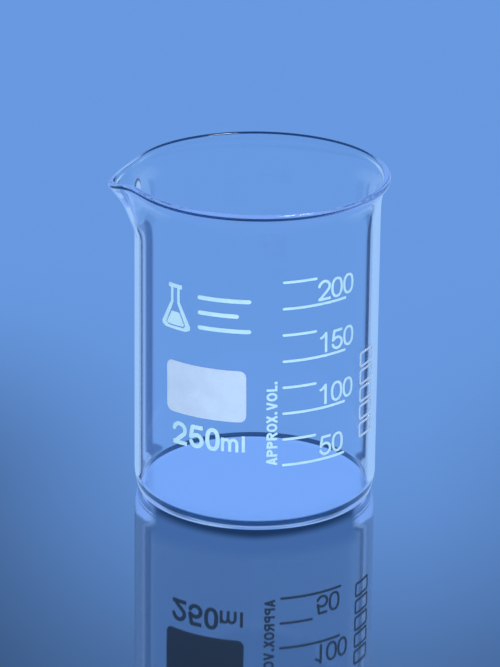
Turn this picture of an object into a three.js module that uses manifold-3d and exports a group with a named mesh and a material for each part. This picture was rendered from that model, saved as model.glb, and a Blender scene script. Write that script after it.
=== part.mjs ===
// Low-form laboratory beaker, 250 ml, with fired-on white scale and marks. Millimetres, +Z up.
// The origin is the centre of the base on the resting plane. The spout points along -X and the
// marks face -Y.
import * as THREE from "three";
import { mergeVertices } from "three/addons/utils/BufferGeometryUtils.js";
import Module from "manifold-3d";

// ---- glass: mm and degrees ----
const WALL_R = 35; // outside radius of the straight wall
const WALL_THICK = 1.8;
const FLOOR_THICK = 2.6;
const HEEL_Z = 7; // the wall is straight above this
const HEEL_SWEEP_R = 18; // the long curve in from the wall
const HEEL_CORNER_R = 1.92; // the corner where it meets the base
const HEEL_INSIDE_R = 0.7; // between the floor and the inside of the wall
const FLARE_Z = 78; // the wall is straight up to here
const FLARE_LEVELS = [FLARE_Z, 81.5, 84.5, 87, 89, 90.7, 92.1, 93.3];
const FLARE_LAST_INSIDE = 94.2; // one more level, on the inside only
const FLARE_POWER_OUTSIDE = 6.06; // a higher power opens later toward the lip
const FLARE_POWER_INSIDE = 6.87;
const LIP_R = 36.57; // radius and height of the centre of the rounded lip
const LIP_Z = 95.14;
const LIP_HALF = 1.07; // half of the lip's thickness
const LIP_FROM = -34.75; // where the outside runs into the lip, degrees round it
const LIP_TO = 191; // and where the inside leaves it
const SEGMENTS = 84;

const SPOUT_WIDTH_RIM = 11.5; // angular half-width of the spout at the rim
const SPOUT_WIDTH_FOOT = 7.5; // and at its foot
const SPOUT_POWER = 1.9; // shape of its falloff to either side
const SPOUT_DIP = 1.9; // how far the tip drops below the rim
const SPOUT_DIP_WIDTH = 9; // angular half-width of the drop
const SPOUT_DIP_POWER = 1.5; // how late the drop sets in with height
// [height, how far the spout leans out over the wall]
const SPOUT_LEAN = [
  [78, 0], [79, 0.1], [80, 0.3], [81, 0.6],
  [83, 1.35], [86, 2.45], [88.6, 3.35], [90.6, 4.2],
  [92.4, 4.85], [93.9, 4.95], [95.4, 4.8], [97, 4.75],
];

// ---- print: x runs round the wall to the right from the zero line, z is height ----
const ENAMEL_R = 35.03; // inside radius of the fired marks, just clear of the wall
const ENAMEL_THICK = 0.15;
const PALE_THICK = 0.12; // of the write-on patch and the frames
const ZERO_AZIMUTH = -95;
const PRINT_TILT = 0.5; // the screen print sits very slightly turned
const PRINT_TILT_Z = 48; // height of the point it turns about
const SLICE = 1.5; // widest flat across the wall on a mark
const SLICE_OFFSET = 0.0137; // keeps the cuts off round coordinates
const SLICE_MARGIN = 0.02; // no cut closer than this to an end

const SCALE = {
  x: 7.42, // left end of every line
  z: 20.65, // the first line
  pitch: 7.85,
  firstMl: 50,
  stepMl: 25,
  count: 8,
  longLine: 20.5,
  shortLine: 10.3,
  lineWidth: 0.72,
};
const DIGITS = {
  x: 18.75, // left end of a number
  x200: 17.95, // and of the 200
  lift: 0.95, // above the centre of the line
  height: 6.05,
  width: 4.15,
  pitch: 4.38,
  oneWidth: 2.35,
  onePitch: 3.85,
  stroke: 0.76,
};

// name, glyph, x, z, width, height, stroke
const CAPACITY = [
  ["two", "2", -25.6, 24.35, 5.05, 6.95, 1.2],
  ["five", "5", -19.8, 24.4, 4.7, 6.95, 1.2],
  ["zero", "0", -14.6, 24.45, 4.35, 6.95, 1.2],
  ["unit_m", "m", -9.85, 24.8, 4.95, 4.1, 0.85],
  ["unit_l", "l", -3.95, 24.85, 0.88, 4.85, 0.88],
];

const PANEL = { x: -27.75, z: 33.9, width: 25.05, height: 15.45, corner: 2 };

const LEGEND = { x: 6.03, z: 20.85, height: 3.05, stroke: 0.66, stop: 0.78 };
// name, glyph, distance up the wall from the start of the legend, width
const LEGEND_LETTERS = [
  ["a", "A", 0, 2.3],
  ["p", "P", 2.66, 2.13],
  ["p_b", "P", 5.16, 2.1],
  ["r", "R", 7.65, 2.35],
  ["o", "O", 10.2, 2.5],
  ["x", "X", 12.85, 2.25],
  ["stop", "dot", 15.45, LEGEND.stop],
  ["v", "V", 16.8, 2.35],
  ["o_b", "O", 19.5, 2.5],
  ["l", "L", 22.45, 1.75],
  ["stop_b", "dot", 24.55, LEGEND.stop],
];

const EMBLEM = { x: -30.1, z: 58.9, flaskWidth: 11.2, wall: 0.8, ruleX: 13.2, ruleWidth: 1.2 };
// Right halves of the flask, [x, z] from the bottom up.
const FLASK_OUTSIDE = [
  [9.3, 0], [10.6, 0.6], [10.75, 1.5], [7.15, 8.3],
  [7.15, 12.2], [7.95, 12.35], [7.95, 13.5],
];
const FLASK_INSIDE = [
  [9.3 - EMBLEM.wall * 1.35, EMBLEM.wall],
  [10.35 - EMBLEM.wall * 1.5, 1.6],
  [7.15 - EMBLEM.wall, 7.9],
  [7.15 - EMBLEM.wall, 12.35],
];
const FLASK_FILL = [[8.25, 1.25], [8.75, 1.75], [6.95, 5.2]];
// name, length, height above the foot of the flask
const EMBLEM_RULES = [
  ["top", 15.6, 11.2],
  ["mid", 12.2, 6.75],
  ["low", 15.6, 2.3],
];

const FRAMES = {
  x: 34.75,
  z: 22.5,
  pitch: 5.4,
  count: 5,
  width: 8.6,
  height: 4.7,
  border: 0.7,
  corner: 0.9,
  insideCorner: 0.45,
};

// ---- materials ----
const glass = new THREE.MeshStandardMaterial({ color: 0xdfeef6, roughness: 0.03, metalness: 0 });
const enamelMaterial = (color) =>
  new THREE.MeshStandardMaterial({ color, roughness: 0.45, metalness: 0 });
const whiteEnamel = enamelMaterial(0xf2f6f8);
const paleEnamel = enamelMaterial(0xdbe8f2);

const wasm = await Module();
wasm.setup();

// ---- flat drawing: points are [x, y] ----
const rad = (degrees) => (degrees * Math.PI) / 180;
const vectors = (points) => points.map(([x, y]) => new THREE.Vector2(x, y));

function shapeOf(outline, hole) {
  const shape = new THREE.Shape(vectors(outline));
  if (hole) shape.holes.push(new THREE.Path(vectors(hole)));
  return shape;
}

function arc(x, y, radiusX, radiusY, from, to, steps) {
  const points = [];
  for (let i = 0; i <= steps; i++) {
    const angle = rad(from + ((to - from) * i) / steps);
    points.push([x + radiusX * Math.cos(angle), y + radiusY * Math.sin(angle)]);
  }
  return points;
}

// A ribbon of even width along open points, with round or flat ends.
function ribbon(points, width, round = true) {
  const last = points.length - 1;
  const half = width / 2;
  const left = [];
  const right = [];
  const direction = (from, to) => {
    const dx = points[to][0] - points[from][0];
    const dy = points[to][1] - points[from][1];
    const length = Math.hypot(dx, dy);
    return [dx / length, dy / length];
  };
  points.forEach(([x, y], i) => {
    const before = direction(Math.max(0, i - 1), Math.max(1, i));
    const after = direction(Math.min(last - 1, i), Math.min(last, i + 1));
    let normalX = -(before[1] + after[1]);
    let normalY = before[0] + after[0];
    const length = Math.hypot(normalX, normalY);
    normalX /= length;
    normalY /= length;
    // the mitre is limited to twice the half-width
    const reach = half / Math.max(0.5, normalX * -before[1] + normalY * before[0]);
    left.push([x + normalX * reach, y + normalY * reach]);
    right.push([x - normalX * reach, y - normalY * reach]);
  });
  const cap = ([x, y], [dx, dy]) => {
    if (!round) return [];
    const start = Math.atan2(-dx, dy);
    return [1, 2, 3].map((i) => {
      const angle = start + (Math.PI * i) / 4;
      return [x + half * Math.cos(angle), y + half * Math.sin(angle)];
    });
  };
  return shapeOf([
    ...right,
    ...cap(points[last], direction(last - 1, last)),
    ...left.reverse(),
    ...cap(points[0], direction(1, 0)),
  ]);
}

const bar = (x0, y0, x1, y1, width) => ribbon([[x0, y0], [x1, y1]], width, false);

// A level bar with round ends, its left end at x = 0.
const roundBar = (length, width) => ribbon([[width / 2, 0], [length - width / 2, 0]], width);

// A closed loop with a squarish oval outline.
function loop(width, height, stroke, steps = 20, power = 2.35) {
  const bulge = (value) => Math.sign(value) * Math.pow(Math.abs(value), 2 / power);
  const oval = (radiusX, radiusY) => {
    const points = [];
    for (let i = 0; i < steps; i++) {
      const angle = (2 * Math.PI * i) / steps;
      points.push([
        width / 2 + radiusX * bulge(Math.cos(angle)),
        height / 2 + radiusY * bulge(Math.sin(angle)),
      ]);
    }
    return points;
  };
  return shapeOf(oval(width / 2, height / 2), oval(width / 2 - stroke, height / 2 - stroke * 0.95));
}

const roundedBox = (width, height, radius, steps) => [
  ...arc(width - radius, height - radius, radius, radius, 0, 90, steps),
  ...arc(radius, height - radius, radius, radius, 90, 180, steps),
  ...arc(radius, radius, radius, radius, 180, 270, steps),
  ...arc(width - radius, radius, radius, radius, 270, 360, steps),
];

// ---- glyphs: each fills a box of the given width and height ----
const stem = (height, stroke) => bar(stroke / 2, 0, stroke / 2, height, stroke);
const foot = (width, stroke) => bar(stroke * 0.2, stroke / 2, width, stroke / 2, stroke);
// Two slanted legs from the corners at one height to the middle at another.
const legs = (width, fromY, toY, stroke) => [
  bar(stroke * 0.45, fromY, width / 2, toY, stroke),
  bar(width - stroke * 0.45, fromY, width / 2, toY, stroke),
];

const GLYPHS = {
  0: (width, height, stroke) => [loop(width, height, stroke)],
  O: (width, height, stroke) => [loop(width, height, stroke, 18, 2.2)],
  1: (width, height, stroke) => [
    bar(width - stroke / 2, 0, width - stroke / 2, height, stroke),
    ribbon(
      [
        [stroke * 0.35, height * 0.735],
        [width * 0.42, height * 0.79],
        [width * 0.66, height * 0.88],
        [width - stroke * 0.55, height - stroke * 0.55],
      ],
      stroke * 0.9,
    ),
  ],
  2: (width, height, stroke) => {
    const radiusY = height * 0.27;
    const centreY = height - stroke / 2 - radiusY;
    return [
      ribbon(
        [
          ...arc(width / 2, centreY, (width - stroke) / 2, radiusY, 172, -28, 9),
          [width * 0.66, height * 0.4],
          [width * 0.42, height * 0.25],
          [width * 0.24, height * 0.13],
          [stroke * 0.62, stroke * 0.6],
        ],
        stroke,
      ),
      foot(width, stroke),
    ];
  },
  5: (width, height, stroke) => {
    const centreY = height * 0.335;
    const radiusX = (width - stroke) / 2;
    const radiusY = centreY - stroke / 2;
    const top = height - stroke / 2;
    const elbow = [width * 0.13, height * 0.475];
    return [
      bar(width * 0.2, top, width * 0.93, top, stroke),
      ribbon([[width * 0.24, top], elbow], stroke),
      ribbon([elbow, ...arc(width / 2, centreY, radiusX, radiusY, 128, -165, 12)], stroke),
    ];
  },
  m: (width, height, stroke) => {
    const radiusX = (width - stroke) / 4;
    const radiusY = height * 0.34;
    const centreY = height - stroke / 2 - radiusY;
    const arch = (left, right) =>
      ribbon(
        [...arc(left + radiusX, centreY, radiusX, radiusY, 165, 0, 6), [right, 0]],
        stroke,
        false,
      );
    return [
      stem(height, stroke),
      arch(stroke / 2, width / 2),
      arch(width / 2, width - stroke / 2),
    ];
  },
  l: (width, height, stroke) => [stem(height, stroke)],
  A: (width, height, stroke) => [
    ...legs(width, 0, height, stroke),
    bar(width * 0.22, height * 0.29, width * 0.78, height * 0.29, stroke * 0.9),
  ],
  P: (width, height, stroke) => {
    const radiusX = height * 0.24;
    const radiusY = height * 0.29 - stroke / 2;
    const centreX = width - stroke / 2 - radiusX;
    return [
      stem(height, stroke),
      ribbon(
        [
          [stroke * 0.3, height - stroke / 2],
          ...arc(centreX, height * 0.71, radiusX, radiusY, 90, -90, 6),
          [stroke * 0.3, height * 0.42 + stroke / 2],
        ],
        stroke,
        false,
      ),
    ];
  },
  R: (width, height, stroke) => [
    ...GLYPHS.P(width * 0.97, height, stroke),
    bar(width * 0.5, height * 0.47, width - stroke * 0.42, 0, stroke),
  ],
  X: (width, height, stroke) => [
    bar(stroke * 0.45, 0, width - stroke * 0.45, height, stroke),
    bar(stroke * 0.45, height, width - stroke * 0.45, 0, stroke),
  ],
  V: (width, height, stroke) => legs(width, height, 0, stroke),
  L: (width, height, stroke) => [stem(height, stroke), foot(width, stroke)],
  dot: (width, height, stroke) => [bar(0, stroke / 2, width, stroke / 2, stroke)],
};

// ---- the glass body ----
// Half section, [radius, z]: out along the base, up the outside, over the lip, down the inside.
function bodyProfile() {
  const turn = (x, z, radius, from, to, steps) => arc(x, z, radius, radius, from, to, steps);
  const flare = (levels, wallR, lipAngle, power) => {
    const endR = LIP_R + LIP_HALF * Math.cos(rad(lipAngle));
    const endZ = LIP_Z + LIP_HALF * Math.sin(rad(lipAngle));
    return levels.map((z) => [
      wallR + (endR - wallR) * Math.pow((z - FLARE_Z) / (endZ - FLARE_Z), power),
      z,
    ]);
  };
  const insideR = WALL_R - WALL_THICK;
  const insideLevels = [...FLARE_LEVELS, FLARE_LAST_INSIDE].reverse();
  // the long curve starts upright at HEEL_Z and runs smoothly into the corner
  const sweepX = WALL_R - HEEL_SWEEP_R;
  const reach = HEEL_SWEEP_R - HEEL_CORNER_R;
  const lean = Math.asin((HEEL_Z - HEEL_CORNER_R) / reach);
  const leanDegrees = (lean * 180) / Math.PI;
  const cornerX = sweepX + reach * Math.cos(lean);
  return vectors([
    [0, 0],
    [15, 0],
    ...turn(cornerX, HEEL_CORNER_R, HEEL_CORNER_R, -90, -leanDegrees, 5),
    ...turn(sweepX, HEEL_Z, HEEL_SWEEP_R, (-leanDegrees * 2) / 3, 0, 2),
    ...flare(FLARE_LEVELS, WALL_R, LIP_FROM, FLARE_POWER_OUTSIDE),
    ...turn(LIP_R, LIP_Z, LIP_HALF, LIP_FROM, LIP_TO, 9),
    ...flare(insideLevels, insideR, LIP_TO, FLARE_POWER_INSIDE),
    ...turn(insideR - HEEL_INSIDE_R, FLOOR_THICK + HEEL_INSIDE_R, HEEL_INSIDE_R, 0, -90, 3),
    [14, FLOOR_THICK],
    [0, FLOOR_THICK],
  ]);
}

function spoutLean(z) {
  const i = SPOUT_LEAN.findIndex(([level]) => z <= level);
  const [z0, lean0] = SPOUT_LEAN[i - 1];
  const [z1, lean1] = SPOUT_LEAN[i];
  return lean0 + ((lean1 - lean0) * (z - z0)) / (z1 - z0);
}

// Moves a point of the round body out and down into the spout.
function pullSpout(point) {
  if (point.z <= FLARE_Z) return;
  const azimuth = Math.atan2(point.y, point.x);
  let off = ((azimuth - Math.PI) * 180) / Math.PI; // degrees from the spout's centre line
  if (off < -180) off += 360;
  const up = Math.min(1, (point.z - FLARE_Z) / (LIP_Z - FLARE_Z));
  const width = SPOUT_WIDTH_FOOT + (SPOUT_WIDTH_RIM - SPOUT_WIDTH_FOOT) * up;
  const out = spoutLean(point.z) * Math.exp(-Math.pow(Math.abs(off) / width, SPOUT_POWER));
  point.x += out * Math.cos(azimuth);
  point.y += out * Math.sin(azimuth);
  point.z -=
    SPOUT_DIP * Math.pow(up, SPOUT_DIP_POWER) * Math.exp(-Math.pow(off / SPOUT_DIP_WIDTH, 2));
}

function glassBody() {
  const geometry = new THREE.LatheGeometry(bodyProfile(), SEGMENTS);
  geometry.rotateX(Math.PI / 2);
  const position = geometry.getAttribute("position");
  const point = new THREE.Vector3();
  for (let i = 0; i < position.count; i++) {
    point.fromBufferAttribute(position, i);
    pullSpout(point);
    position.setXYZ(i, point.x, point.y, point.z);
  }
  geometry.computeVertexNormals();
  const mesh = new THREE.Mesh(geometry, glass);
  mesh.name = "glass_body";
  return mesh;
}

// ---- slicing marks into narrow flats ----
function cutsAcross(points) {
  const xs = points.map((p) => p[0]);
  const low = Math.min(...xs);
  const high = Math.max(...xs);
  const cuts = [];
  let cut = Math.ceil(low / SLICE) * SLICE + SLICE_OFFSET;
  for (; cut < high - SLICE_MARGIN; cut += SLICE) if (cut > low + SLICE_MARGIN) cuts.push(cut);
  return cuts;
}

// The point of an edge at x = cut, always worked out from its left end so that
// faces sharing the edge get the same point.
function crossing(a, b, cut) {
  const [start, end] = a[0] < b[0] ? [a, b] : [b, a];
  const t = (cut - start[0]) / (end[0] - start[0]);
  return start.map((v, i) => (i === 0 ? cut : v + t * (end[i] - v)));
}

// Splits a convex polygon at x = cut into its left and right parts.
function split(polygon, cut) {
  const left = [];
  const right = [];
  polygon.forEach((p, i) => {
    const next = polygon[(i + 1) % polygon.length];
    if (p[0] <= cut) left.push(p);
    if (p[0] >= cut) right.push(p);
    if ((p[0] < cut && next[0] > cut) || (p[0] > cut && next[0] < cut)) {
      const middle = crossing(p, next, cut);
      left.push(middle);
      right.push(middle);
    }
  });
  return [left, right];
}

function slabs(polygon, cuts) {
  const parts = [];
  let rest = polygon;
  for (const cut of cuts) {
    if (!rest.some((p) => p[0] < cut)) continue;
    if (!rest.some((p) => p[0] > cut)) break;
    const [left, right] = split(rest, cut);
    parts.push(left);
    rest = right;
  }
  parts.push(rest);
  return parts.filter((part) => part.length > 2);
}

const fan = (polygon) => polygon.slice(2).map((p, i) => [polygon[0], polygon[i + 1], p]);

// Triangles of a plate with a convex outline, sliced as it is built.
function convexPlate(shape, depth, place) {
  const outline = shape.getPoints(1).map((p) => place([p.x, p.y]));
  const cuts = cutsAcross(outline);
  const triangles = [];
  const at = (p, d) => [p[0], p[1], d];
  for (const slab of slabs(outline, cuts)) {
    for (const [a, b, c] of fan(slab)) {
      triangles.push([at(a, depth), at(b, depth), at(c, depth)]);
      triangles.push([at(a, 0), at(c, 0), at(b, 0)]);
    }
    slab.forEach((p, i) => {
      const next = slab[(i + 1) % slab.length];
      // no side face where two slabs meet
      if (p[0] === next[0] && cuts.includes(p[0])) return;
      triangles.push([at(p, 0), at(next, 0), at(next, depth)]);
      triangles.push([at(p, 0), at(next, depth), at(p, depth)]);
    });
  }
  return triangles;
}

function extrudedSolid(shape, depth) {
  const extruded = new THREE.ExtrudeGeometry(shape, { depth, bevelEnabled: false });
  const bare = new THREE.BufferGeometry();
  bare.setAttribute("position", extruded.getAttribute("position"));
  const merged = mergeVertices(bare, 1e-4);
  return new wasm.Manifold(
    new wasm.Mesh({
      numProp: 3,
      vertProperties: merged.attributes.position.array,
      triVerts: new Uint32Array(merged.index.array),
    }),
  );
}

// Triangles of overlapping strokes joined into one solid, then sliced.
function joinedStrokes(shapes, depth, place) {
  const { numVert, numProp, vertProperties, triVerts } = shapes
    .map((shape) => extrudedSolid(shape, depth))
    .reduce((joined, stroke) => joined.add(stroke))
    .getMesh();
  const points = [];
  for (let i = 0; i < numVert; i++) {
    const start = i * numProp;
    points.push(place([...vertProperties.slice(start, start + 3)]));
  }
  const triangles = [];
  for (let i = 0; i < triVerts.length; i += 3)
    triangles.push([points[triVerts[i]], points[triVerts[i + 1]], points[triVerts[i + 2]]]);
  const cuts = cutsAcross(triangles.flat());
  return triangles.flatMap((triangle) => slabs(triangle, cuts).flatMap(fan));
}

// A mark from shapes drawn at their own origin, moved to x0, z0 and wrapped on the wall.
// upward turns the drawing to read up the wall; convex takes a single convex shape.
function enamel(name, shapes, x0, z0, options = {}) {
  const { upward, convex, thickness = ENAMEL_THICK, material = whiteEnamel } = options;
  const tilt = rad(PRINT_TILT);
  const place = (p) => {
    const [flatX, flatY] = upward ? [-p[1], p[0]] : p;
    const x = flatX + x0;
    const y = flatY + (z0 - PRINT_TILT_Z);
    return [
      x * Math.cos(tilt) - y * Math.sin(tilt),
      PRINT_TILT_Z + x * Math.sin(tilt) + y * Math.cos(tilt),
      ...p.slice(2),
    ];
  };
  const triangles = convex
    ? convexPlate(shapes[0], thickness, place)
    : joinedStrokes(shapes, thickness, place);
  const wrapped = triangles.flat().flatMap(([x, z, depth]) => {
    const azimuth = rad(ZERO_AZIMUTH) + x / WALL_R;
    const radius = ENAMEL_R + depth;
    return [radius * Math.cos(azimuth), radius * Math.sin(azimuth), z];
  });
  const geometry = new THREE.BufferGeometry();
  geometry.setAttribute("position", new THREE.Float32BufferAttribute(wrapped, 3));
  geometry.computeVertexNormals();
  const mesh = new THREE.Mesh(geometry, material);
  mesh.name = name;
  return mesh;
}

// ---- the marks ----
function scaleNumber(ml, lineZ) {
  const names = { 0: "zero", 1: "one", 2: "two", 5: "five" };
  const text = String(ml);
  let x = ml === 200 ? DIGITS.x200 : DIGITS.x;
  return [...text].map((digit, i) => {
    const isOne = digit === "1";
    const width = isOne ? DIGITS.oneWidth : DIGITS.width;
    const shapes = GLYPHS[digit](width, DIGITS.height, DIGITS.stroke);
    const suffix = text.indexOf(digit) < i ? "_b" : "";
    const name = `num_${ml}_${names[digit]}${suffix}`;
    const mesh = enamel(name, shapes, x, lineZ + DIGITS.lift);
    x += isOne ? DIGITS.onePitch : DIGITS.pitch;
    return mesh;
  });
}

// Long lines with a number and short lines without, by turns.
function scale() {
  const meshes = [];
  for (let i = 0; i < SCALE.count; i++) {
    const ml = SCALE.firstMl + SCALE.stepMl * i;
    const z = SCALE.z + SCALE.pitch * i;
    const isLong = i % 2 === 0;
    const line = roundBar(isLong ? SCALE.longLine : SCALE.shortLine, SCALE.lineWidth);
    meshes.push(enamel("line_" + ml, [line], SCALE.x, z, { convex: true }));
    if (isLong) meshes.push(...scaleNumber(ml, z));
  }
  return meshes;
}

// Capacity mark, heavier figures with a smaller unit.
const capacity = () =>
  CAPACITY.map(([name, glyph, x, z, width, height, stroke]) =>
    enamel("capacity_" + name, GLYPHS[glyph](width, height, stroke), x, z),
  );

// Write-on patch with rounded corners.
function markingPanel() {
  const shape = shapeOf(roundedBox(PANEL.width, PANEL.height, PANEL.corner, 5));
  const options = { thickness: PALE_THICK, material: paleEnamel, convex: true };
  return enamel("marking_panel", [shape], PANEL.x, PANEL.z, options);
}

// Legend for the scale, read upwards.
const legend = () =>
  LEGEND_LETTERS.map(([name, glyph, along, width]) => {
    const stroke = glyph === "dot" ? LEGEND.stop : LEGEND.stroke;
    const shapes = GLYPHS[glyph](width, LEGEND.height, stroke);
    return enamel("legend_" + name, shapes, LEGEND.x, LEGEND.z + along, { upward: true });
  });

// Plain emblem: a conical flask with three rules beside it.
function emblem() {
  const mirror = ([x, z]) => [EMBLEM.flaskWidth - x, z];
  // a closed outline from its right half, starting at the bottom left
  const whole = (half) => [mirror(half[0]), ...half, ...half.slice(1).reverse().map(mirror)];
  const flask = shapeOf(whole(FLASK_OUTSIDE), whole(FLASK_INSIDE));
  const fill = shapeOf(whole(FLASK_FILL));
  const { x, z, ruleX, ruleWidth } = EMBLEM;
  return [
    enamel("emblem_flask", [flask], x, z),
    enamel("emblem_fill", [fill], x, z, { convex: true }),
    ...EMBLEM_RULES.map(([name, length, up]) => {
      const rule = roundBar(length, ruleWidth);
      return enamel("emblem_rule_" + name, [rule], x + ruleX, z + up, { convex: true });
    }),
  ];
}

// Column of empty frames to the right of the scale.
function sideFrames() {
  const { x, z, pitch, count, width, height, border, corner, insideCorner } = FRAMES;
  const hole = roundedBox(width - 2 * border, height - 2 * border, insideCorner, 2);
  const frame = shapeOf(
    roundedBox(width, height, corner, 3),
    hole.map(([holeX, holeY]) => [holeX + border, holeY + border]),
  );
  const options = { thickness: PALE_THICK, material: paleEnamel };
  return Array.from({ length: count }, (_, i) =>
    enamel("side_frame_" + (i + 1), [frame], x, z + pitch * i, options),
  );
}

// ---- assembly ----
const beaker = new THREE.Group();
beaker.name = "beaker";
beaker.add(glassBody(), ...scale(), ...capacity(), markingPanel());
beaker.add(...legend(), ...emblem(), ...sideFrames());

export default beaker;
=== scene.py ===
"""A glass beaker with a pouring spout and printed enamel marks, on a polished pale blue sheet.

The beaker stands on z = 0 around the Z axis, with its spout toward -X. The camera looks
along +Y, a little to +X, and down. Beaker sizes are in millimetres; the scene is in metres.
"""
import math

import bmesh
import bpy
from mathutils import Matrix, Vector


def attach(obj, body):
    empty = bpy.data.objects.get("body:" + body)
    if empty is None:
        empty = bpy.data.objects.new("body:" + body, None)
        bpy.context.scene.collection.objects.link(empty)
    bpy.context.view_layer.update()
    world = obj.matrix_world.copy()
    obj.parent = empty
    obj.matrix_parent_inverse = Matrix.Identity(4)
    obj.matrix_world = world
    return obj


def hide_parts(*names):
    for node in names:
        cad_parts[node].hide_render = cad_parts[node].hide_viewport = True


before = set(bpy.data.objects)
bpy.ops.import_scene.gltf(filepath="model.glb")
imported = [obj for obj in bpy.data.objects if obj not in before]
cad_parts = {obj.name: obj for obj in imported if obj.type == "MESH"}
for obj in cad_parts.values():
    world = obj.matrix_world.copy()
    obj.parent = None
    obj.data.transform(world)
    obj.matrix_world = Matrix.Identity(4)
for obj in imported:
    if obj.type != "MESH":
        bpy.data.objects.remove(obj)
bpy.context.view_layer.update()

# ---------------------------------------------------------------- beaker dimensions (mm)
MM = 0.001
WALL_RADIUS = 35.0
WALL_THICKNESS = 1.8
INNER_RADIUS = WALL_RADIUS - WALL_THICKNESS
FLOOR_THICKNESS = 2.6
HEEL_TOP = 7.0           # where the curve of the foot meets the straight wall
HEEL_SWEEP = 18.0        # radius of the long curve of the foot
HEEL_CORNER = 1.92       # radius of the tight curve under it
INNER_HEEL_RADIUS = 0.7
FLARE_START = 78.0
OUTER_FLARE_POWER = 6.06
INNER_FLARE_POWER = 6.87
LIP_RADIUS = 36.57       # from the axis to the centre of the lip's bead
LIP_HEIGHT = 95.14
LIP_BEAD = 1.07
LIP_FROM, LIP_TO = -34.75, 191.0  # degrees round the bead, from outside over to inside
UNDERSIDE_RADII = (0, 5, 10, 15, 19, 22, 24.5, 26.5, 28.5, 30.5)
WALL_HEIGHTS = (9, 12, 16, 22, 30, 38, 46, 54, 62, 68, 72, 75)
INNER_HEEL_HEIGHTS = (6, 4.4, 3.7)
INNER_FLOOR_EDGE = 31.8

SPOUT_WIDTH = 11.5       # degrees of azimuth, at the lip
SPOUT_WIDTH_LOW = 7.5    # and where the flare starts
SPOUT_POWER = 1.9        # how squarely the spout falls off to its sides
SPOUT_ROUNDING = 0.6     # degrees squared, rounds the crease along the middle
SPOUT_DIP = 1.9
SPOUT_DIP_WIDTH = 9.0    # degrees
SPOUT_DIP_POWER = 1.5
# height, distance the middle of the spout leans out
SPOUT_LEAN = [
    (76, 0), (78, 0), (79, 0.1), (80, 0.3), (81, 0.6), (83, 1.35), (86, 2.45),
    (88.6, 3.35), (90.6, 4.2), (92.4, 4.85), (93.9, 4.95), (95.4, 4.8), (97, 4.75),
]
SEGMENTS = 288
SPOUT_CROWDING = 0.55    # how far the segments are drawn toward the spout


# ---------------------------------------------------------------- glass mesh
def monotone_curve(points):
    """Monotone cubic (Fritsch-Carlson) through the points, level beyond both ends."""
    places, values = zip(*points)
    gaps = [b - a for a, b in zip(places, places[1:])]
    rates = [(b - a) / gap for a, b, gap in zip(values, values[1:], gaps)]
    slopes = [rates[0]] + [0.0] * (len(points) - 2) + [rates[-1]]
    for i in range(1, len(rates)):
        if rates[i - 1] * rates[i] > 0:
            before = 2 * gaps[i] + gaps[i - 1]
            after = gaps[i] + 2 * gaps[i - 1]
            slopes[i] = (before + after) / (before / rates[i - 1] + after / rates[i])

    def value_at(x):
        if x <= places[0]:
            return values[0]
        if x >= places[-1]:
            return values[-1]
        i = max(k for k in range(len(gaps)) if places[k] <= x)
        part = (x - places[i]) / gaps[i]
        rest = 1 - part
        return (values[i] * (1 + 2 * part) * rest ** 2
                + slopes[i] * gaps[i] * part * rest ** 2
                + values[i + 1] * part * part * (3 - 2 * part)
                - slopes[i + 1] * gaps[i] * part * part * rest)
    return value_at


spout_lean = monotone_curve(SPOUT_LEAN)


def arc(centre_r, centre_z, radius, start, end, steps):
    """Profile points round an arc, with angles in degrees."""
    angles = [math.radians(start + (end - start) * i / steps) for i in range(steps + 1)]
    return [(centre_r + radius * math.cos(a), centre_z + radius * math.sin(a)) for a in angles]


def flare(wall, lip_angle, power, steps=30):
    """Profile points from the straight wall up to, but not on, the bead of the lip."""
    end_r, end_z = arc(LIP_RADIUS, LIP_HEIGHT, LIP_BEAD, lip_angle, lip_angle, 1)[0]
    return [(wall + (end_r - wall) * (i / steps) ** power,
             FLARE_START + (end_z - FLARE_START) * i / steps) for i in range(steps)]


def profile():
    """(radius, height) from the middle of the underside, over the lip and down the inside."""
    sweep_centre = WALL_RADIUS - HEEL_SWEEP
    reach = HEEL_SWEEP - HEEL_CORNER
    lean = math.asin((HEEL_TOP - HEEL_CORNER) / reach)
    corner_centre = sweep_centre + reach * math.cos(lean)
    join = -math.degrees(lean)

    points = [(r, 0.0) for r in UNDERSIDE_RADII]
    points += arc(corner_centre, HEEL_CORNER, HEEL_CORNER, -90, join, steps=18)
    # the corner already holds the sweep's first point
    points += arc(sweep_centre, HEEL_TOP, HEEL_SWEEP, join, 0, steps=12)[1:]
    points += [(WALL_RADIUS, z) for z in WALL_HEIGHTS]
    points += flare(WALL_RADIUS, LIP_FROM, OUTER_FLARE_POWER)
    points += arc(LIP_RADIUS, LIP_HEIGHT, LIP_BEAD, LIP_FROM, LIP_TO, steps=30)
    points += flare(INNER_RADIUS, LIP_TO, INNER_FLARE_POWER)[::-1]
    points += [(INNER_RADIUS, z) for z in WALL_HEIGHTS[::-1] + INNER_HEEL_HEIGHTS]
    points += arc(INNER_RADIUS - INNER_HEEL_RADIUS, FLOOR_THICKNESS + INNER_HEEL_RADIUS,
                  INNER_HEEL_RADIUS, 0, -90, steps=14)
    points += [(r, FLOOR_THICKNESS) for r in (INNER_FLOOR_EDGE,) + UNDERSIDE_RADII[::-1]]
    return points


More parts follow.
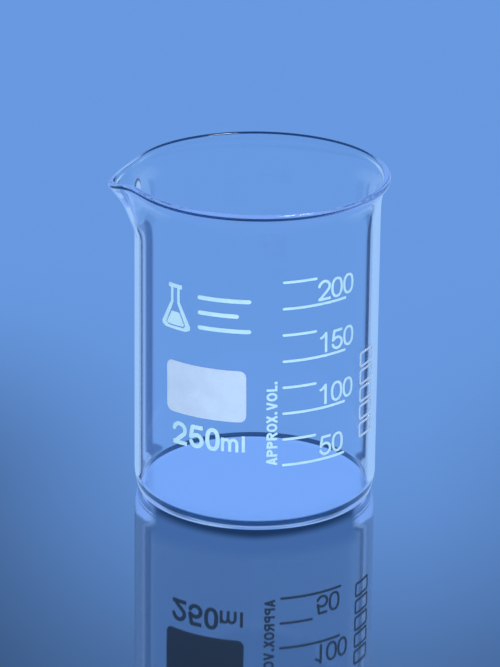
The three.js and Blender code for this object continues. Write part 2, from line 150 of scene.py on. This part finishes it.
def pull_spout(radius, azimuth, z):
    """Lean the rim out and dip it around azimuth 180 degrees."""
    if z <= SPOUT_LEAN[0][0]:
        return radius, z
    off = math.degrees(azimuth) % 360.0 - 180.0
    rise = min(1.0, max(0.0, (z - FLARE_START) / (LIP_HEIGHT - FLARE_START)))
    width = SPOUT_WIDTH_LOW + (SPOUT_WIDTH - SPOUT_WIDTH_LOW) * rise
    fall = (math.sqrt(off * off + SPOUT_ROUNDING) / width) ** SPOUT_POWER
    fall_at_middle = (math.sqrt(SPOUT_ROUNDING) / width) ** SPOUT_POWER
    out = spout_lean(z) * math.exp(fall_at_middle - fall)
    dip = SPOUT_DIP * rise ** SPOUT_DIP_POWER * math.exp(-(off / SPOUT_DIP_WIDTH) ** 2)
    return radius + out, z - dip


def glass_mesh():
    """The profile turned round the axis, with the spout pulled out of it."""
    turns = [2 * math.pi * j / SEGMENTS for j in range(SEGMENTS)]
    azimuths = [math.pi + turn - SPOUT_CROWDING * math.sin(turn) for turn in turns]
    verts, faces, rings = [], [], []
    for radius, z in profile():
        first = len(verts)
        if radius < 1e-6:
            verts.append((0, 0, z * MM))
        else:
            for azimuth in azimuths:
                out, height = pull_spout(radius, azimuth, z)
                verts.append((out * math.cos(azimuth) * MM, out * math.sin(azimuth) * MM,
                              height * MM))
        rings.append(range(first, len(verts)))
    for low, high in zip(rings, rings[1:]):
        for j in range(SEGMENTS):
            k = (j + 1) % SEGMENTS
            if len(low) == 1:
                faces.append((low[0], high[k], high[j]))
            elif len(high) == 1:
                faces.append((low[j], low[k], high[0]))
            else:
                faces.append((low[j], low[k], high[k], high[j]))
    mesh = bpy.data.meshes.new("glass_body_fine")
    mesh.from_pydata(verts, [], faces)
    mesh.update()
    shell = bmesh.new()
    shell.from_mesh(mesh)
    bmesh.ops.recalc_face_normals(shell, faces=shell.faces)
    shell.to_mesh(mesh)
    shell.free()
    mesh.polygons.foreach_set("use_smooth", [True] * len(mesh.polygons))
    return mesh


# ---------------------------------------------------------------- shader nodes
class Net:
    """Short calls that build the node tree of a material or a world.

    A value may be a number, a tuple or the output socket of another node.
    """

    def __init__(self, owner, output):
        owner.use_nodes = True
        self.tree = owner.node_tree
        self.tree.nodes.clear()
        self.output = self.add(output)

    def link(self, value, socket):
        if isinstance(value, (int, float)):
            socket.default_value = value
        elif isinstance(value, tuple):
            socket.default_value = (*value, 1)[:len(socket.default_value)]
        else:
            self.tree.links.new(value, socket)

    def fill(self, node, **inputs):
        for name, value in inputs.items():
            self.link(value, node.inputs[name.replace("_", " ")])

    def add(self, kind, **inputs):
        node = self.tree.nodes.new("ShaderNode" + kind)
        self.fill(node, **inputs)
        return node

    def finish(self, shader):
        self.fill(self.output, Surface=shader.outputs[0])

    def math(self, operation, *values, clamp=False):
        node = self.add("Math")
        node.operation = operation
        node.use_clamp = clamp
        for value, socket in zip(values, node.inputs):
            self.link(value, socket)
        return node.outputs[0]

    def product(self, first, *others):
        for other in others:
            first = self.math("MULTIPLY", first, other)
        return first

    def scaled(self, value, by, plus):
        return self.math("MULTIPLY_ADD", value, by, plus)

    def above(self, value, limit):
        return self.math("GREATER_THAN", value, limit)

    def below(self, value, limit):
        return self.math("LESS_THAN", value, limit)

    def smooth(self, value, zero, one, interpolation="SMOOTHSTEP"):
        """0 where the value is at zero, 1 where it is at one, either way round."""
        node = self.add("MapRange")
        node.interpolation_type = interpolation
        self.fill(node, Value=value, From_Min=zero, From_Max=one)
        return node.outputs["Result"]

    def mixed(self, factor, a, b):
        """Colour a where the factor is 0, b where it is 1."""
        node = self.add("Mix")
        node.data_type = "RGBA"
        self.fill(node, Factor=factor, A=a, B=b)
        return node.outputs["Result"]

    def ramp(self, factor, stops, interpolation="LINEAR"):
        """A colour ramp through (position, colour) stops."""
        node = self.add("ValToRGB", Fac=factor)
        node.color_ramp.interpolation = interpolation
        elements = node.color_ramp.elements
        while len(elements) > 1:
            elements.remove(elements[-1])
        elements[0].position = stops[0][0]
        elements[0].color = (*stops[0][1], 1)
        for position, colour in stops[1:]:
            elements.new(position).color = (*colour, 1)
        return node.outputs[0]

    def vector(self, operation, *values, scale=None):
        node = self.add("VectorMath")
        node.operation = operation
        for value, socket in zip(values, node.inputs):
            self.link(value, socket)
        if scale is not None:
            self.fill(node, Scale=scale)
        return node.outputs["Value" if operation == "DOT_PRODUCT" else 0]

    def parts(self, vector):
        node = self.add("SeparateXYZ", Vector=vector)
        return node.outputs["X"], node.outputs["Y"], node.outputs["Z"]

    def turned(self, vector, source, target):
        node = self.add("VectorTransform")
        node.vector_type = "VECTOR"
        node.convert_from = source
        node.convert_to = target
        self.link(vector, node.inputs[0])
        return node.outputs[0]

    def camera_axis(self):
        return self.parts(self.turned((0.0, 0.0, 1.0), "CAMERA", "WORLD"))

    def level_axes(self):
        """Unit vectors in the floor plane, ahead of the camera and to its right."""
        x, y, _ = self.camera_axis()
        ahead = self.vector("NORMALIZE", self.add("CombineXYZ", X=x, Y=y).outputs[0])
        x, y, _ = self.parts(ahead)
        right = self.add("CombineXYZ", X=y, Y=self.math("MULTIPLY", x, -1.0))
        return ahead, right.outputs[0]


def srgb(*channels):
    """sRGB 0-255 to linear."""
    shares = [channel / 255.0 for channel in channels]
    return tuple(c / 12.92 if c <= 0.04045 else ((c + 0.055) / 1.055) ** 2.4 for c in shares)


# ---------------------------------------------------------------- glass
GLASS_IOR = 1.473
# ray depth at which light caught in the glass is let out, in the lip and in the foot
LIP_HOLD, FOOT_HOLD = 8.5, 16.5
BEAD_EDGE = {"zero": 0.0940, "one": 0.0945}  # heights (m) where the lip's lines fade in
CLEAR_TINT = (0.985, 0.995, 1.0)
# painted shade in the glass colour, seen only by the camera: along the crown of the lip and in
# two thin dark lines
CROWN_PAINTED_SHADE = (0.22, 0.34, 0.46)
LINE_PAINTED_SHADE = (0.004, 0.028, 0.075)


def glass_material():
    material = bpy.data.materials.new("borosilicate_glass")
    net = Net(material, "OutputMaterial")
    path = net.add("LightPath").outputs
    geometry = net.add("NewGeometry").outputs
    position, incoming = geometry["Position"], geometry["Incoming"]

    # light that keeps turning round inside is let out after a while, toward the studio
    height = net.parts(position)[2]
    hold = net.scaled(net.below(height, limit=0.012), by=FOOT_HOLD - LIP_HOLD, plus=LIP_HOLD)
    held = net.above(path["Ray Depth"], hold)
    ior = net.scaled(held, by=1 - GLASS_IOR, plus=GLASS_IOR)

    # painted shade: two thin dark lines toward the camera, under the bead of the lip and inside
    # the foot, painted into the glass colour as dark reflections
    normal_x, normal_y, facing = net.parts(geometry["Normal"])
    x, y, _ = net.parts(position)
    outward = net.above(net.scaled(normal_x, by=x, plus=net.product(normal_y, y)), limit=0.0)
    spout = net.smooth(x, zero=-0.0345, one=-0.0390)
    level = net.scaled(spout, by=SPOUT_DIP * MM, plus=height)
    toward = net.vector("DOT_PRODUCT", incoming, geometry["Normal"])
    toward = net.scaled(net.smooth(x, zero=0.004, one=-0.004), by=0.35, plus=toward)
    bead = net.product(net.smooth(facing, zero=0.44, one=0.28),
                       net.smooth(facing, zero=-0.60, one=-0.25),
                       net.smooth(level, **BEAD_EDGE),
                       net.smooth(toward, zero=0.50, one=0.84))
    along = net.vector("DOT_PRODUCT", incoming, position)
    climb = net.math("ADD", height, net.scaled(along, by=0.0622, plus=-0.0017))
    foot = net.product(net.smooth(climb, zero=0.0017, one=0.0023),
                       net.smooth(climb, zero=0.0044, one=0.0037))
    line = net.product(net.math("MAXIMUM", bead, foot), outward, path["Is Camera Ray"])

    # painted shade: the far rim's dark line is painted a little heavier along the crown of the
    # bead, into the glass colour
    slope = net.parts(incoming)[2]
    nearness = net.math("SUBTRACT", along, net.product(height, slope))
    crown = net.product(net.smooth(facing, zero=0.72, one=0.84),
                        net.smooth(height, **BEAD_EDGE),
                        net.smooth(nearness, zero=-0.010, one=-0.017),
                        path["Is Camera Ray"])
    clear = net.mixed(crown, CLEAR_TINT, CROWN_PAINTED_SHADE)

    # drawn glass: long, very faint waves up the wall
    place = net.add("TexCoord").outputs["Object"]
    stretched = net.add("Mapping", Scale=(1.0, 1.0, 0.28), Vector=place)
    waves = net.add("TexNoise", Scale=38.0, Detail=1.5, Roughness=0.4,
                    Vector=stretched.outputs[0])
    bump = net.add("Bump", Strength=0.02, Distance=0.0005, Height=waves.outputs["Fac"])
    net.finish(net.add(
        "BsdfPrincipled", Base_Color=net.mixed(line, clear, LINE_PAINTED_SHADE), Roughness=0.0,
        IOR=ior, Transmission_Weight=1.0, Specular_IOR_Level=0.5, Normal=bump.outputs[0]))
    return material


# ---------------------------------------------------------------- fired enamel
def enamel_material(name, colour, shade, roughness, mottling, relief):
    """Printed enamel with slow mottling, a fine grain, a few pinholes and painted shade for the
    sheet's mirror; relief in mm.
    """
    material = bpy.data.materials.new(name)
    net = Net(material, "OutputMaterial")
    place = net.add("TexCoord").outputs["Object"]
    slow = net.add("TexNoise", Scale=210.0, Detail=3.0, Roughness=0.55, Vector=place)
    fine = net.add("TexNoise", Scale=2600.0, Detail=2.0, Roughness=0.6, Vector=place)
    cells = net.add("TexVoronoi", Scale=900.0, Vector=place)
    slow_share, fine_share = 0.6, 0.4
    grain = net.math("ADD", net.product(slow.outputs["Fac"], slow_share),
                     net.product(fine.outputs["Fac"], fine_share))
    mottled = net.ramp(grain, [(0.5 - mottling, shade), (0.5 + mottling, colour)])
    pinhole = net.below(cells.outputs["Distance"], limit=0.07)
    pinhole_strength, pinhole_shade = 0.25, 0.62
    pitted = net.mixed(net.product(pinhole, pinhole_strength), mottled,
                       tuple(c * pinhole_shade for c in shade))

    # painted shade: the side the sheet mirrors is turned away from the lights, so the enamel's
    # colour is painted dark for what the mirror sees
    path = net.add("LightPath").outputs
    first = net.below(path["Ray Depth"], limit=1.5)
    mirror_shade = net.product(path["Is Glossy Ray"], net.scaled(first, by=0.385, plus=0.6))
    mirror_shaded_colour = net.vector("SCALE", pitted, scale=net.scaled(mirror_shade, by=-1.0, plus=1.0))

    roughness_spread = 0.22
    rough = net.scaled(fine.outputs["Fac"], by=roughness_spread,
                       plus=roughness - roughness_spread / 2)
    bump = net.add("Bump", Strength=0.5, Distance=relief * MM, Height=grain)
    net.finish(net.add("BsdfPrincipled", Base_Color=mirror_shaded_colour, Roughness=rough,
                       Specular_IOR_Level=0.35, Normal=bump.outputs[0]))
    return material


# ---------------------------------------------------------------- studio
# A pale blue sweep. Camera rays see it plain; for rays bent by the glass, painted light and shade
# stand in for soft strips and flags beside the object, placed from the camera, so the wall's
# edges read alike from every side.
PLAIN = srgb(105, 154, 226)
BRIGHT = srgb(161, 202, 253)
LILAC = srgb(136, 174, 236)
MID = srgb(70, 108, 170)
DARK = srgb(12, 40, 88)
SHADE = srgb(54, 90, 154)
NAVY = srgb(18, 56, 112)
GLOW = srgb(126, 168, 246)
SPENT = srgb(80, 118, 182)
MIRRORED_INSIDE_SHADE = srgb(66, 104, 165)
PAINTED_CONTACT_SHADOW = srgb(28, 56, 98)
WHITE = (1.0, 1.0, 1.0)

# Each row: sine of the angle to the right of the camera's axis, colour.
# Rays that went straight through the walls:
THROUGH = [
    (-0.60, DARK), (-0.302, DARK), (-0.280, LILAC), (-0.216, LILAC), (-0.204, SHADE),
    (-0.140, SHADE), (-0.127, PLAIN), (0.176, PLAIN), (0.196, DARK), (0.236, DARK),
    (0.260, BRIGHT), (0.60, BRIGHT),
]
# rays turned back by a surface on the way:
TURNED = [
    (-1.0, PLAIN), (-0.85, PLAIN), (-0.83, MID), (-0.715, MID), (-0.70, LILAC),
    (-0.615, LILAC), (-0.60, DARK), (-0.526, DARK), (-0.514, BRIGHT), (-0.10, BRIGHT),
    (-0.06, PLAIN), (0.06, PLAIN), (0.10, BRIGHT), (0.62, BRIGHT), (0.65, DARK),
    (0.74, DARK), (0.77, PLAIN), (1.0, PLAIN),
]
# rays tilted off the camera's own slope, as through the lip, the base and the spout:
TILTED = [
    (-0.6, BRIGHT), (-0.22, BRIGHT), (-0.12, PLAIN), (0.12, PLAIN), (0.22, BRIGHT),
    (0.6, BRIGHT),
]

# The painted pool of light on the sheet: share of the range, brightness
POOL_AHEAD = [(0.0, 0.42), (0.28, 0.62), (0.6, 0.92), (1.0, 1.0)]
POOL_ACROSS = [
    (0.0, 0.36), (0.18, 0.5), (0.34, 0.86), (0.5, 1.0), (0.75, 1.0), (0.9, 0.8), (1.0, 0.7),
]
POLISH = 0.9  # how much of the sheet's look is mirror


def side_ramp(net, sideways, rows):
    start = rows[0][0]
    span = rows[-1][0] - start
    share = net.math("DIVIDE", net.math("SUBTRACT", sideways, start), span)
    return net.ramp(share, [((x - start) / span, colour) for x, colour in rows])


def studio_colour(net, direction, path, mirrored=0.0):
    """What a bent ray sees, how far it leans to the right, and its rise over the camera's."""
    sideways, _, forward = net.parts(net.turned(direction, "WORLD", "CAMERA"))
    rise = net.parts(direction)[2]
    lift = net.math("SUBTRACT", rise, net.camera_axis()[2])
    through = side_ramp(net, sideways, THROUGH)
    front = net.smooth(forward, zero=-0.05, one=0.05)
    back = net.mixed(front, PLAIN, side_ramp(net, sideways, TURNED))
    # a bounce off the sheet itself is not one inside the glass
    turns = net.math("SUBTRACT", path["Glossy Depth"], mirrored)
    seen = net.mixed(net.above(turns, limit=0.5), through, back)
    # faint reflections from wall to wall stay quiet
    one_turn = net.product(net.above(turns, limit=0.5), net.below(turns, limit=1.5))
    faint = net.product(net.above(path["Ray Depth"], limit=4.5), one_turn)
    seen = net.mixed(faint, seen, PLAIN)
    off_slope = net.smooth(net.math("ABSOLUTE", lift), zero=0.08, one=0.15)
    tilt = net.math("SUBTRACT", off_slope, mirrored, clamp=True)
    tilted = net.mixed(net.smooth(forward, zero=0.2, one=0.6), PLAIN,
                       side_ramp(net, sideways, TILTED))
    seen = net.mixed(tilt, seen, tilted)
    # the bright line round the foot: light turned more than once
    return net.mixed(net.above(turns, limit=1.5), seen, LILAC), sideways, lift


def let_out(net, path, seen):
    """Light held in the lip or the foot comes out as the studio's own soft blue."""
    freed = net.above(path["Ray Depth"], limit=LIP_HOLD)
    late = net.above(path["Ray Depth"], limit=FOOT_HOLD)
    return net.mixed(freed, seen, net.mixed(late, GLOW, SPENT))


def upright(net, sideways, lift):
    """1 where a ray leans up or down more than sideways, 0 toward the sides."""
    lift_weight = 1.9
    weighted = net.product(net.math("ABSOLUTE", lift), lift_weight)
    excess = net.math("SUBTRACT", net.math("ABSOLUTE", sideways), weighted)
    return net.smooth(excess, zero=0.06, one=-0.06)


def pool(net, ahead, right):
    """The painted pool of light: dims toward the viewer and to the sides, most on the left."""
    def brightness(value, zero, one, rows):
        share = net.smooth(value, zero, one, interpolation="LINEAR")
        return net.ramp(share, [(x, (grey,) * 3) for x, grey in rows], "B_SPLINE")
    depth = brightness(ahead, zero=-0.16, one=0.10, rows=POOL_AHEAD)
    across = brightness(right, zero=-0.11, one=0.11, rows=POOL_ACROSS)
    across = net.mixed(net.smooth(ahead, zero=0.0, one=0.17), across, WHITE)
    return net.vector("MULTIPLY", depth, across)


# ---------------------------------------------------------------- sheet
# painted light: the sheet is painted brighter under the base
UNDER_BASE_PAINTED_LIGHT = (1.60, 1.45, 1.50)       # the light under the base
SHEET_ON_MARKS = (0.20, 0.33, 0.45)   # what the sheet casts on matt surfaces


def floor_material():
    material = bpy.data.materials.new("floor")
    net = Net(material, "OutputMaterial")
    geometry = net.add("NewGeometry").outputs
    path = net.add("LightPath").outputs
    ahead_axis, right_axis = net.level_axes()
    ahead = net.vector("DOT_PRODUCT", geometry["Position"], ahead_axis)
    right = net.vector("DOT_PRODUCT", geometry["Position"], right_axis)
    sheet_with_painted_light = net.vector("MULTIPLY", pool(net, ahead, right),
                       tuple(c * (1 - POLISH) for c in PLAIN))
    travel = net.vector("SCALE", geometry["Incoming"], scale=-1.0)
    bent, sideways, lift = studio_colour(net, travel, path)

    # painted light: under the base the sheet is painted brighter, as if lit from below
    x, y, _ = net.parts(geometry["Position"])
    radius = net.math("SQRT", net.math("ADD", net.product(x, x), net.product(y, y)))
    under = net.smooth(radius, zero=0.0345, one=0.0335)
    bent = net.vector("MULTIPLY", bent, net.mixed(under, WHITE, UNDER_BASE_PAINTED_LIGHT))

    # painted shade and light: steep rays fall on the dark edge of the sweep, or its bright front
    # if thrown back, painted into the sheet
    forward = net.vector("DOT_PRODUCT", travel, ahead_axis)
    steep = net.product(net.smooth(lift, zero=-0.083, one=-0.22), upright(net, sideways, lift))
    straight = net.below(path["Glossy Depth"], limit=0.5)
    onward = net.product(net.smooth(forward, zero=0.05, one=0.19), straight)
    bent = net.mixed(steep, bent, net.mixed(onward, GLOW, NAVY))
    bent = let_out(net, path, bent)

    # painted shadow: the close shadow where the base meets the sheet
    aside = net.math("ABSOLUTE", right)
    spread = net.scaled(aside, by=0.11, plus=radius)
    contact_shadow_mask = net.product(net.smooth(spread, zero=0.0415, one=0.0355),
                          net.smooth(ahead, zero=-0.012, one=-0.022))
    # painted reflection: just in front of it the mirror shows only the dim inside of the beaker,
    # so the sheet is painted darker there
    inside_shade_mask = net.product(net.smooth(spread, zero=0.056, one=0.046),
                       net.smooth(ahead, zero=-0.006, one=-0.014),
                       net.smooth(aside, zero=0.0305, one=0.0275))
    sheet_with_painted_light = net.mixed(inside_shade_mask, sheet_with_painted_light, MIRRORED_INSIDE_SHADE)
    sheet_with_painted_light = net.mixed(contact_shadow_mask, sheet_with_painted_light, PAINTED_CONTACT_SHADOW)
    seen = net.mixed(path["Is Diffuse Ray"], bent, SHEET_ON_MARKS)
    seen = net.mixed(path["Is Camera Ray"], seen, sheet_with_painted_light)
    glow = net.add("Emission", Color=seen)

    # only the camera sees the sheet's polish
    # painted shade: the polish is turned down under the painted contact shadow and the painted
    # dim mirror
    contact_shadow_in_gloss = 0.9
    painted_shade_in_gloss = net.math("MAXIMUM", net.product(contact_shadow_mask, contact_shadow_in_gloss), inside_shade_mask)
    shine = net.product(net.math("SUBTRACT", 1.0, painted_shade_in_gloss), POLISH, path["Is Camera Ray"])
    gloss = net.add("BsdfGlossy", Roughness=0.03, Color=shine)
    both = net.add("AddShader")
    for shader, socket in zip((glow, gloss), both.inputs):
        net.link(shader.outputs[0], socket)
    net.finish(both)
    return material


# ---------------------------------------------------------------- world
# painted shade in the sheet's mirror image: the sky is dimmed for mirrored rays
MIRROR_DIM = (0.41, 0.43, 0.47)       # what is left of PLAIN in the mirrored middle
MIRROR_SIDES = 0.5                    # and of the studio in the mirrored sides
# a mirrored ray of this climb left the sheet this far ahead (m), less REACH per unit of climb
MIRROR_CLIMB, MIRROR_AHEAD, MIRROR_REACH = 0.3734, 0.081, 3.115
MIRROR_ACROSS = 1.13                  # metres to the right per unit of sideways lean
LAMP_RIGHT, LAMP_AHEAD, LAMP_UP = 0.262, 0.10, 0.960
LAMP_FULL, LAMP_DEEP = (22.0, 24.0, 26.0), (1.6, 1.8, 2.0)  # after few and many bounces
SKY_ON_MARKS = (0.30, 0.46, 0.56)     # what the sky casts on matt surfaces


def build_world():
    world = bpy.data.worlds.new("studio")
    bpy.context.scene.world = world
    net = Net(world, "OutputWorld")
    path = net.add("LightPath").outputs
    direction = net.add("TexCoord").outputs["Generated"]

    # rays mirrored by the polished sheet climb as steeply as the camera looks down
    climb = net.parts(direction)[2]
    camera_climb = net.product(net.smooth(climb, zero=0.24, one=0.30),
                               net.smooth(climb, zero=0.54, one=0.48))
    mirror = net.product(net.above(path["Glossy Depth"], limit=0.5), camera_climb)
    bent, sideways, lift = studio_colour(net, direction, path, mirror)
    beside = net.smooth(net.math("ABSOLUTE", sideways), zero=0.10, one=0.13)
    inside = net.mixed(beside, tuple(c * k for c, k in zip(PLAIN, MIRROR_DIM)),
                       net.vector("SCALE", bent, scale=MIRROR_SIDES))
    bent = net.mixed(mirror, bent, inside)
    ceiling = net.product(net.smooth(climb, zero=0.56, one=0.70), upright(net, sideways, lift))
    bent = net.mixed(ceiling, bent, NAVY)
    bent = let_out(net, path, bent)

    # the same painted pool of light, met by way of the mirror
    ahead = net.scaled(climb, by=-MIRROR_REACH, plus=MIRROR_AHEAD + MIRROR_REACH * MIRROR_CLIMB)
    lit = pool(net, ahead, net.product(sideways, MIRROR_ACROSS))
    open_sky = net.mixed(mirror, PLAIN, net.vector("MULTIPLY", lit, PLAIN))
    seen = net.mixed(path["Is Transmission Ray"], open_sky, bent)

    # a small lamp high above, met only in the curve of the rim and the foot
    ahead_axis, right_axis = net.level_axes()
    level = net.vector("ADD", net.vector("SCALE", right_axis, scale=LAMP_RIGHT),
                       net.vector("SCALE", ahead_axis, scale=LAMP_AHEAD))
    lamp = net.vector("ADD", level, (0.0, 0.0, LAMP_UP))
    lamp = net.smooth(net.vector("DOT_PRODUCT", direction, lamp), zero=0.988, one=0.996)
    lamp = net.product(lamp, path["Is Glossy Ray"])
    few_bounces = net.below(path["Ray Depth"], limit=3.5)
    seen = net.mixed(lamp, seen, net.mixed(few_bounces, LAMP_DEEP, LAMP_FULL))
    seen = net.mixed(path["Is Diffuse Ray"], seen, SKY_ON_MARKS)
    net.finish(net.add("Background", Color=seen))


# ---------------------------------------------------------------- build
def place(name, data):
    thing = bpy.data.objects.new(name, data)
    bpy.context.scene.collection.objects.link(thing)
    return thing


def build_beaker():
    body = place("glass_body_visual", glass_mesh())
    body.data.materials.append(glass_material())
    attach(body, "root")
    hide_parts("glass_body")
    body.visible_shadow = False

    white = enamel_material("white_enamel", colour=srgb(252, 254, 255),
                            shade=srgb(228, 238, 246), roughness=0.48, mottling=0.16, relief=0.02)
    patch = enamel_material("marking_patch_enamel", colour=srgb(250, 236, 250),
                            shade=srgb(236, 222, 240), roughness=0.62, mottling=0.2, relief=0.03)
    side = enamel_material("side_frame_enamel", colour=srgb(246, 236, 250),
                           shade=srgb(226, 218, 240), roughness=0.6, mottling=0.2, relief=0.03)
    for name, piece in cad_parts.items():
        if name == "glass_body":
            continue
        enamel = white
        if name == "marking_panel":
            enamel = patch
        elif name.startswith("side_frame"):
            enamel = side
        piece.data.materials.clear()
        piece.data.materials.append(enamel)


def build_floor(half=60.0, drop=0.00002):
    """A wide square sheet, just below the beaker's underside (m)."""
    mesh = bpy.data.meshes.new("floor")
    corners = [(-half, -half, 0), (half, -half, 0), (half, half, 0), (-half, half, 0)]
    mesh.from_pydata(corners, [], [(0, 1, 2, 3)])
    floor = place("floor", mesh)
    floor.location.z = -drop
    floor.data.materials.append(floor_material())


LIGHT_TARGET = Vector((0, 0, 0.05))
LIGHT_COLOUR = (0.55, 0.85, 1.0)
# name, location (m), width and height (m), power (W)
LIGHTS = [
    ("key_left", (-0.75, -1.05, 0.42), (0.5, 0.5), 8.5),
    ("key_right", (0.95, -0.9, 0.42), (0.5, 0.5), 7.2),
    ("key_back", (0.1, 1.3, 0.42), (0.6, 0.5), 7.8),
]


def build_lights():
    """Area lights that reach only the matt enamel."""
    for name, location, size, power in LIGHTS:
        data = bpy.data.lights.new(name, "AREA")
        data.shape = "RECTANGLE"
        data.size, data.size_y = size
        data.energy = power
        data.color = LIGHT_COLOUR
        light = place(name, data)
        light.location = location
        light.rotation_mode = "QUATERNION"
        light.rotation_quaternion = (Vector(location) - LIGHT_TARGET).to_track_quat("Z", "Y")
        light.visible_camera = False
        light.visible_transmission = False
        light.visible_glossy = False


ELEVATION = math.radians(21.249)
ROLL = math.radians(0.625)
TURN = math.radians(-5.0)
DISTANCE = 1146.31                        # mm
TARGET_RIGHT, TARGET_UP = -1.791, 47.153  # mm


def build_camera():
    up_axis = Vector((0, 0, 1))
    level_right = Vector((math.cos(TURN), math.sin(TURN), 0))
    ahead = Vector((-math.sin(TURN), math.cos(TURN), 0))
    back = -ahead * math.cos(ELEVATION) + up_axis * math.sin(ELEVATION)
    eye = (level_right * TARGET_RIGHT + up_axis * TARGET_UP + back * DISTANCE) * MM
    level_up = back.cross(level_right)
    right = level_right * math.cos(ROLL) + level_up * math.sin(ROLL)
    up = -level_right * math.sin(ROLL) + level_up * math.cos(ROLL)
    data = bpy.data.cameras.new("camera")
    data.sensor_width = 36.0
    data.sensor_fit = "AUTO"
    data.lens = 215.10945
    data.clip_start, data.clip_end = 0.01, 200.0
    camera = place("camera", data)
    axes = Matrix((right, up, back)).transposed().to_4x4()
    camera.matrix_world = Matrix.Translation(eye) @ axes
    bpy.context.scene.camera = camera


def set_render():
    scene = bpy.context.scene
    scene.view_settings.view_transform = "Standard"
    scene.view_settings.look = "None"
    scene.cycles.max_bounces = 24
    scene.cycles.transmission_bounces = 24
    scene.cycles.glossy_bounces = 24
    scene.cycles.transparent_max_bounces = 12
    scene.cycles.caustics_refractive = True
    scene.cycles.caustics_reflective = True


build_beaker()
build_floor()
build_world()
build_lights()
build_camera()
set_render()
